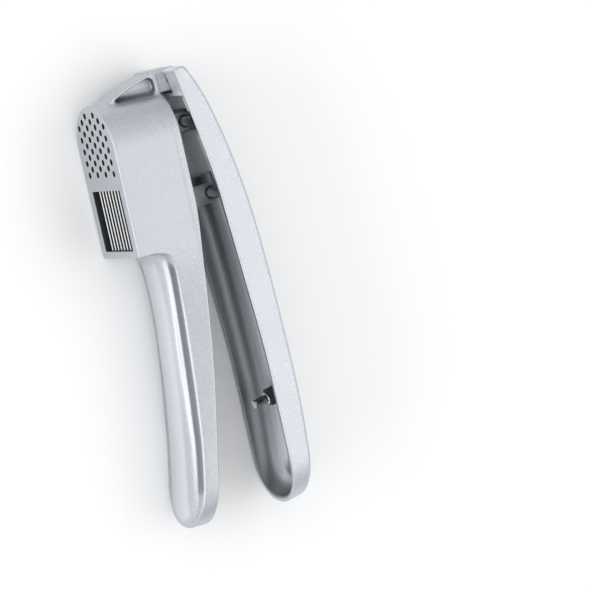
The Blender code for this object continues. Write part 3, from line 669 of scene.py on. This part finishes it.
def build_slicer_foot():
    """The foot with a square plate, whose ribs go between the blades."""
    pin_x, pin_y = HINGE[0] + SLICE_PIN[0], HINGE[1] + SLICE_PIN[1]
    face = FRONT_Y + BLADE_INSET + BLADE_DEPTH + 0.4 - pin_y
    return build_foot("slicer_foot_casting", SLICE_PIN, SLICE_LEAD, (2.1 - pin_x, 26.3 - pin_x), face,
                      thickness=3.0, half_width=14.5, round_top=None, stem_half=7.5, ribs=True)


# ---------------------------------------------------------------- turned and ground pieces
def lathe(name, profile, sides=48):
    """Turned piece about local Z from radius and height pairs, in millimetres."""
    mesh_data = bmesh.new()
    rings = []
    for radius, height in profile:
        turns = [2 * math.pi * index / sides for index in range(sides)]
        rings.append([mesh_data.verts.new((radius * MM * math.cos(turn), radius * MM * math.sin(turn),
                                           height * MM)) for turn in turns])
    for lower, upper in zip(rings, rings[1:]):
        for index in range(sides):
            after = (index + 1) % sides
            mesh_data.faces.new((lower[index], lower[after], upper[after], upper[index]))
    mesh_data.faces.new(list(reversed(rings[0])))
    mesh_data.faces.new(rings[-1])
    return link(name, mesh_data)


def link(name, mesh_data, sharp=35):
    """Object of a finished mesh, smooth but for its edges above that angle."""
    mesh = bpy.data.meshes.new(name)
    bmesh.ops.recalc_face_normals(mesh_data, faces=mesh_data.faces)
    mesh_data.to_mesh(mesh)
    mesh_data.free()
    mesh.shade_smooth()
    mesh.set_sharp_from_angle(angle=math.radians(sharp))
    item = bpy.data.objects.new(name, mesh)
    bpy.context.scene.collection.objects.link(item)
    return item


def domed(radius, low, high, edge):
    """Profile of a bar with rounded ends."""
    turns = [math.radians(90 * step / 5) for step in range(6)]
    arc = [(radius - edge * (1 - math.sin(turn)), edge * (1 - math.cos(turn))) for turn in turns]
    return [(r, low + rise) for r, rise in arc] + [(r, high - rise) for r, rise in reversed(arc)]


def build_cross_pin(name, centre, radius):
    """A pin across the tool, ending just under the surface of both flanks."""
    pin = lathe(name, domed(radius, 0.4, 2 * HALF - 1.2, 0.5))
    pin.location = (centre[0] * MM, centre[1] * MM, 0)
    return pin


def mark_ground(item, is_ground):
    """Marks which of a piece's points are ground bright; on a blade the others are painted shade."""
    ground = item.data.attributes.new("ground", "FLOAT", "POINT")
    ground.data.foreach_set("value", [float(is_ground(vertex.co)) for vertex in item.data.vertices])


def build_blade(number):
    """Thin plate with a ground cutting edge, in the place of its CAD blade."""
    low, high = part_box("slicer_blade_%d" % number)
    edge = 0.35 * MM
    middle = (low.z + high.z) / 2
    land = 0.06 * MM
    shape = [(low.y, middle - land), (low.y + edge, low.z), (high.y, low.z), (high.y, high.z),
             (low.y + edge, high.z), (low.y, middle + land)]
    mesh_data = bmesh.new()
    rings = [[mesh_data.verts.new((x, y, z)) for y, z in shape] for x in (low.x, high.x)]
    mesh_data.faces.new(rings[0])
    mesh_data.faces.new(rings[1])
    for index in range(len(shape)):
        after = (index + 1) % len(shape)
        mesh_data.faces.new((rings[0][index], rings[0][after], rings[1][after], rings[1][index]))
    for cut_at in (low.y + edge, low.y + 1.3 * edge):
        parts = mesh_data.verts[:] + mesh_data.edges[:] + mesh_data.faces[:]
        bmesh.ops.bisect_plane(mesh_data, geom=parts, plane_co=(0, cut_at, 0), plane_no=(0, 1, 0))
    item = link("blade_%d" % number, mesh_data, 10)
    mark_ground(item, lambda place: place.y < low.y + 0.36 * MM)
    return item


def peg_frame(item, along, depth):
    """Stands a turned piece in the upper handle's channel, its axis across the floor."""
    x, y = rest_turn(along, depth)
    turn = Matrix.Rotation(CLOSE_ANGLE, 4, "Z") @ Matrix.Rotation(-math.pi / 2, 4, "X")
    item.matrix_world = Matrix.Translation((x * MM, y * MM, HALF * MM)) @ turn
    return item


def build_peg():
    """Headed peg, its ring and the block it stands on."""
    rim = float(outline(UPPER_RIM)(PEG_ALONG))
    top = rim - 2.2
    collar = rim + 3.8
    length = collar - 0.3 - top
    peg = lathe("peg", [(1.6, 0), (1.8, 0.08), (1.9, 0.3), (1.9, 1.3), (1.82, 1.36), (1.82, 1.5), (1.9, 1.56),
                        (1.9, length - 0.1), (1.8, length)])
    ring = lathe("peg_ring", [(2.1, 0), (2.45, 0.05), (2.65, 0.25), (2.65, 0.6), (2.5, 0.8)])
    peg_frame(peg, PEG_ALONG, top)
    peg_frame(ring, PEG_ALONG, collar)
    low, high = collar + 1.1, float(outline(UPPER_STEP)(PEG_ALONG)) + UPPER_RISE - WALL - 1.2
    mesh_data = bmesh.new()
    bmesh.ops.create_cube(mesh_data, size=1.0)
    bmesh.ops.scale(mesh_data, vec=Vector((7.0, 4.6, high - low)) * MM, verts=mesh_data.verts)
    bmesh.ops.bevel(mesh_data, geom=mesh_data.edges[:], offset=0.35 * MM, segments=3, profile=0.5,
                    affect="EDGES")
    block = link("peg_base_block", mesh_data, 50)
    peg_frame(block, PEG_ALONG, (low + high) / 2)
    return peg, ring, block


# ---------------------------------------------------------------- materials
def node_material(name):
    """A new material, its node tree and its shader."""
    material = bpy.data.materials.new(name)
    material.use_nodes = True
    tree = material.node_tree
    return material, tree, tree.nodes["Principled BSDF"]


def add(tree, kind, **settings):
    """A new node with these settings."""
    node = tree.nodes.new(kind)
    for key, value in settings.items():
        setattr(node, key, value)
    return node


def noise(tree, scale, detail, roughness=0.55):
    """Solid noise in the piece's own metres."""
    place = add(tree, "ShaderNodeTexCoord")
    grain = add(tree, "ShaderNodeTexNoise")
    grain.inputs["Scale"].default_value = scale
    grain.inputs["Detail"].default_value = detail
    grain.inputs["Roughness"].default_value = roughness
    tree.links.new(place.outputs["Object"], grain.inputs["Vector"])
    return grain.outputs["Fac"]


def spread(tree, value, low, high, to_low, to_high):
    """Maps a value from one range to another."""
    node = add(tree, "ShaderNodeMapRange")
    for socket, number in (("From Min", low), ("From Max", high), ("To Min", to_low), ("To Max", to_high)):
        node.inputs[socket].default_value = number
    tree.links.new(value, node.inputs["Value"])
    return node.outputs["Result"]


def mix_colours(tree, factor, first, second):
    """Mix of two colours, each a value or another node's output."""
    node = add(tree, "ShaderNodeMix", data_type="RGBA")
    tree.links.new(factor, node.inputs["Factor"])
    for socket, colour in ((node.inputs[6], first), (node.inputs[7], second)):
        if isinstance(colour, tuple):
            socket.default_value = (*colour, 1.0)
        else:
            tree.links.new(colour, socket)
    return node.outputs[2]


def math_node(tree, operation, first, second):
    """One sum of two values, each a number or another node's output."""
    node = add(tree, "ShaderNodeMath", operation=operation)
    for socket, value in zip(node.inputs, (first, second)):
        if isinstance(value, (int, float)):
            socket.default_value = value
        else:
            tree.links.new(value, socket)
    return node.outputs[0]


def bump(tree, shader, height, distance, strength):
    """Fine relief of that height in the shader's normal."""
    node = add(tree, "ShaderNodeBump")
    node.inputs["Distance"].default_value = distance
    node.inputs["Strength"].default_value = strength
    tree.links.new(height, node.inputs["Height"])
    tree.links.new(node.outputs["Normal"], shader.inputs["Normal"])


def blasted_metal(name, tone):
    """Bead-blasted casting: fine even grain, faint cloudiness, rubbed edges, painted shade where little sky
    is seen, painted light as a pale matte skin.
    """
    material, tree, shader = node_material(name)
    grain = noise(tree, 2600, 2.0, 0.6)
    pits = noise(tree, 900, 3.0, 0.6)
    cloud = noise(tree, 60, 3.0)
    edge = add(tree, "ShaderNodeAttribute", attribute_name="edge")
    worn = spread(tree, edge.outputs["Fac"], 0.8, 2.4, 0.0, 1.0)
    light = [tone * part for part in CASTING_TINT]
    base = mix_colours(tree, spread(tree, cloud, 0.35, 0.65, 0, 1), tuple(0.965 * part for part in light),
                       tuple(1.035 * part for part in light))
    speck = mix_colours(tree, spread(tree, grain, 0.32, 0.68, 0, 1), tuple(0.74 * part for part in light),
                        tuple(1.26 * part for part in light))
    body = mix_colours(tree, spread(tree, cloud, 0.2, 0.8, 0.6, 0.8), base, speck)
    rubbed = mix_colours(tree, worn, body, tuple(1.18 * part for part in light))
    # Painted shade: where little sky is seen the colour goes to near black and stops being metal.
    sky = add(tree, "ShaderNodeAttribute", attribute_name="sky")
    shade = spread(tree, sky.outputs["Fac"], 0.08, 0.62, 0.0, 1.0)
    # Painted light: a pale matte skin lightens the colour and lifts the painted shade.
    painted_light = add(tree, "ShaderNodeAttribute", attribute_name="painted_light").outputs["Fac"]
    shade = math_node(tree, "MAXIMUM", shade, painted_light)
    painted_skin = mix_colours(tree, painted_light, rubbed, PAINTED_LIGHT_COLOUR)
    colour = mix_colours(tree, shade, PAINTED_SHADE_COLOUR, painted_skin)
    metal = math_node(tree, "SUBTRACT", spread(tree, shade, 0.0, 0.2, 0.0, 1.0), painted_light)
    tree.links.new(metal, shader.inputs["Metallic"])
    tree.links.new(colour, shader.inputs["Base Color"])
    rough = math_node(tree, "ADD", spread(tree, grain, 0.3, 0.7, 0.40, 0.50),
                      spread(tree, worn, 0.0, 1.0, 0.0, -0.10))
    rough = math_node(tree, "ADD", rough, math_node(tree, "MULTIPLY", painted_light, 0.35))
    tree.links.new(rough, shader.inputs["Roughness"])
    height = math_node(tree, "ADD", grain, math_node(tree, "MULTIPLY", pits, 0.6))
    bump(tree, shader, height, 0.00004, 0.5)
    return material


def pin_metal():
    """Turned pin steel: darker, glossy, with fine rings round it."""
    material, tree, shader = node_material("turned_pin_steel")
    shader.inputs["Metallic"].default_value = 1.0
    place = add(tree, "ShaderNodeTexCoord")
    rings = add(tree, "ShaderNodeTexWave", wave_type="BANDS", bands_direction="Z")
    rings.inputs["Scale"].default_value = 2400
    rings.inputs["Distortion"].default_value = 1.5
    tree.links.new(place.outputs["Object"], rings.inputs["Vector"])
    smear = noise(tree, 300, 3.0)
    colour = mix_colours(tree, smear, (0.22, 0.225, 0.235), (0.32, 0.33, 0.345))
    tree.links.new(colour, shader.inputs["Base Color"])
    tree.links.new(spread(tree, smear, 0.3, 0.7, 0.16, 0.28), shader.inputs["Roughness"])
    bump(tree, shader, rings.outputs["Fac"], 0.00001, 0.25)
    return material


def blade_metal():
    """Ground blade steel: fine scratches along the blade, bright at the ground edge; its sides are painted
    shade, near black and not metal.
    """
    material, tree, shader = node_material("ground_blade_steel")
    shader.inputs["Metallic"].default_value = 1.0
    place = add(tree, "ShaderNodeTexCoord")
    stretch = add(tree, "ShaderNodeMapping")
    stretch.inputs["Scale"].default_value = (120, 4000, 4000)
    scratches = add(tree, "ShaderNodeTexNoise")
    scratches.inputs["Scale"].default_value = 1.0
    scratches.inputs["Detail"].default_value = 2.0
    tree.links.new(place.outputs["Object"], stretch.inputs["Vector"])
    tree.links.new(stretch.outputs["Vector"], scratches.inputs["Vector"])
    bright = mix_colours(tree, scratches.outputs["Fac"], (0.78, 0.79, 0.81), (0.92, 0.93, 0.94))
    # Painted shade: away from the ground edge the blade is near black and not metal.
    ground = add(tree, "ShaderNodeAttribute", attribute_name="ground")
    tree.links.new(ground.outputs["Fac"], shader.inputs["Metallic"])
    colour = mix_colours(tree, ground.outputs["Fac"], (0.03, 0.031, 0.033), bright)
    tree.links.new(colour, shader.inputs["Base Color"])
    tree.links.new(spread(tree, scratches.outputs["Fac"], 0.3, 0.7, 0.18, 0.32), shader.inputs["Roughness"])
    bump(tree, shader, scratches.outputs["Fac"], 0.00001, 0.2)
    return material


def black_plastic():
    """Moulded black block with a faint texture."""
    material, tree, shader = node_material("moulded_black")
    grain = noise(tree, 2200, 3.0)
    colour = mix_colours(tree, grain, (0.012, 0.012, 0.013), (0.035, 0.035, 0.037))
    tree.links.new(colour, shader.inputs["Base Color"])
    tree.links.new(spread(tree, grain, 0.3, 0.7, 0.40, 0.55), shader.inputs["Roughness"])
    bump(tree, shader, grain, 0.00003, 0.4)
    return material


def floor_paper():
    """Pale studio floor."""
    material, tree, shader = node_material("studio_floor")
    cloud = noise(tree, 6, 2.0)
    colour = mix_colours(tree, cloud, (0.93, 0.93, 0.935), (0.95, 0.95, 0.95))
    tree.links.new(colour, shader.inputs["Base Color"])
    shader.inputs["Roughness"].default_value = 0.9
    return material


def dress(item, material, body, slot, *nodes):
    """Gives a finished piece its material, its body and the CAD nodes that it stands for; its slot is not
    used.
    """
    item.data.materials.clear()
    item.data.materials.append(material)
    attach(item, body)
    if nodes:
        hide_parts(*nodes)


# ---------------------------------------------------------------- studio
def build_floor():
    """The paper that the tool lies on."""
    mesh_data = bmesh.new()
    bmesh.ops.create_grid(mesh_data, x_segments=4, y_segments=4, size=2.5)
    floor = link("studio_floor", mesh_data)
    floor.data.materials.append(floor_paper())


def build_light(name, place, target, size, power):
    """A softbox at a place, aimed at its target."""
    lamp = bpy.data.lights.new(name, "AREA")
    lamp.shape = "RECTANGLE"
    lamp.size, lamp.size_y = size
    lamp.energy = power
    item = bpy.data.objects.new(name, lamp)
    item.location = place
    item.rotation_euler = (Vector(target) - Vector(place)).to_track_quat("-Z", "Y").to_euler()
    bpy.context.scene.collection.objects.link(item)


def build_world():
    """Soft studio surroundings: pale above, darker towards the horizon."""
    world = bpy.data.worlds.new("studio")
    world.use_nodes = True
    tree = world.node_tree
    place = add(tree, "ShaderNodeTexCoord")
    split = add(tree, "ShaderNodeSeparateXYZ")
    tree.links.new(place.outputs["Generated"], split.inputs["Vector"])
    ramp = add(tree, "ShaderNodeValToRGB")
    stops = ramp.color_ramp.elements
    stops[0].position, stops[0].color = 0.0, (0.55, 0.56, 0.57, 1)
    stops[1].position, stops[1].color = 1.0, (1.0, 1.0, 1.0, 1)
    middle = stops.new(0.6)
    middle.color = (0.86, 0.87, 0.88, 1)
    tree.links.new(split.outputs["Z"], ramp.inputs["Fac"])
    back = tree.nodes["Background"]
    tree.links.new(ramp.outputs["Color"], back.inputs["Color"])
    back.inputs["Strength"].default_value = 1.06
    bpy.context.scene.world = world


def build_camera():
    """Camera above the tool, with the hinge at the top of its view."""
    camera = bpy.data.cameras.new("camera")
    camera.sensor_width = 36
    camera.lens = CAMERA_LENS
    item = bpy.data.objects.new("camera", camera)
    item.location = CAMERA_PLACE
    item.rotation_euler = [math.radians(angle) for angle in CAMERA_TURN]
    bpy.context.scene.collection.objects.link(item)
    bpy.context.scene.camera = item


def build_studio():
    """Floor, surroundings, lights and camera."""
    build_floor()
    build_world()
    build_light("left_softbox", (0.05, -1.1, 0.50), (0.05, 0, 0), (1.2, 0.4), 4.5)
    build_light("right_softbox", (0.15, 0.50, 0.75), (0.05, 0, 0), (0.8, 0.4), 0.8)
    build_camera()
    bpy.context.scene.view_settings.view_transform = "Standard"


def dress_peg(steel, blade):
    """The peg with its bright top, its ring and its black block."""
    peg, ring, block = build_peg()
    dress(peg, steel, "upper_handle", "pin_steel", "stop_peg")
    for item in (peg, ring):
        mark_ground(item, lambda place: True)
    peg.data.materials.append(blade)
    for face in peg.data.polygons:
        if face.center.z < 0.1 * MM:
            face.material_index = 1
    dress(ring, blade, "upper_handle", "pin_steel", "peg_collar")
    dress(block, black_plastic(), "upper_handle", "dark_plastic", "peg_block")


def main():
    """Dresses the frame piece by piece."""
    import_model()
    casting = blasted_metal("bead_blasted_casting", CASTING_TONE)
    steel, blade = pin_metal(), blade_metal()
    dress(build_body(), casting, "body", "casting", "body")
    # Painted light: the upper handle gets a lighter copy of the casting metal.
    handle = blasted_metal("bead_blasted_handle_painted_lighter", HANDLE_PAINTED_LIGHT_TONE)
    dress(build_upper_handle(), handle, "upper_handle", "casting", "upper_handle")
    dress(build_press_foot(), casting, "press_foot", "casting", "press_foot")
    dress(build_slicer_foot(), casting, "slicer_foot", "casting", "slicer_foot")
    for name, centre, radius in (("hinge_pin", HINGE, PIN_RADIUS),
                                 ("press_foot_pin", rest_turn(*PRESS_PIN), FOOT_PIN_RADIUS),
                                 ("slicer_foot_pin", rest_turn(*SLICE_PIN), FOOT_PIN_RADIUS)):
        dress(build_cross_pin(name + "_turned", centre, radius), steel, "upper_handle", "pin_steel", name)
    for number in range(1, BLADE_COUNT + 1):
        dress(build_blade(number), blade, "body", "blade_steel", "slicer_blade_%d" % number)
    dress_peg(steel, blade)
    build_studio()


main()
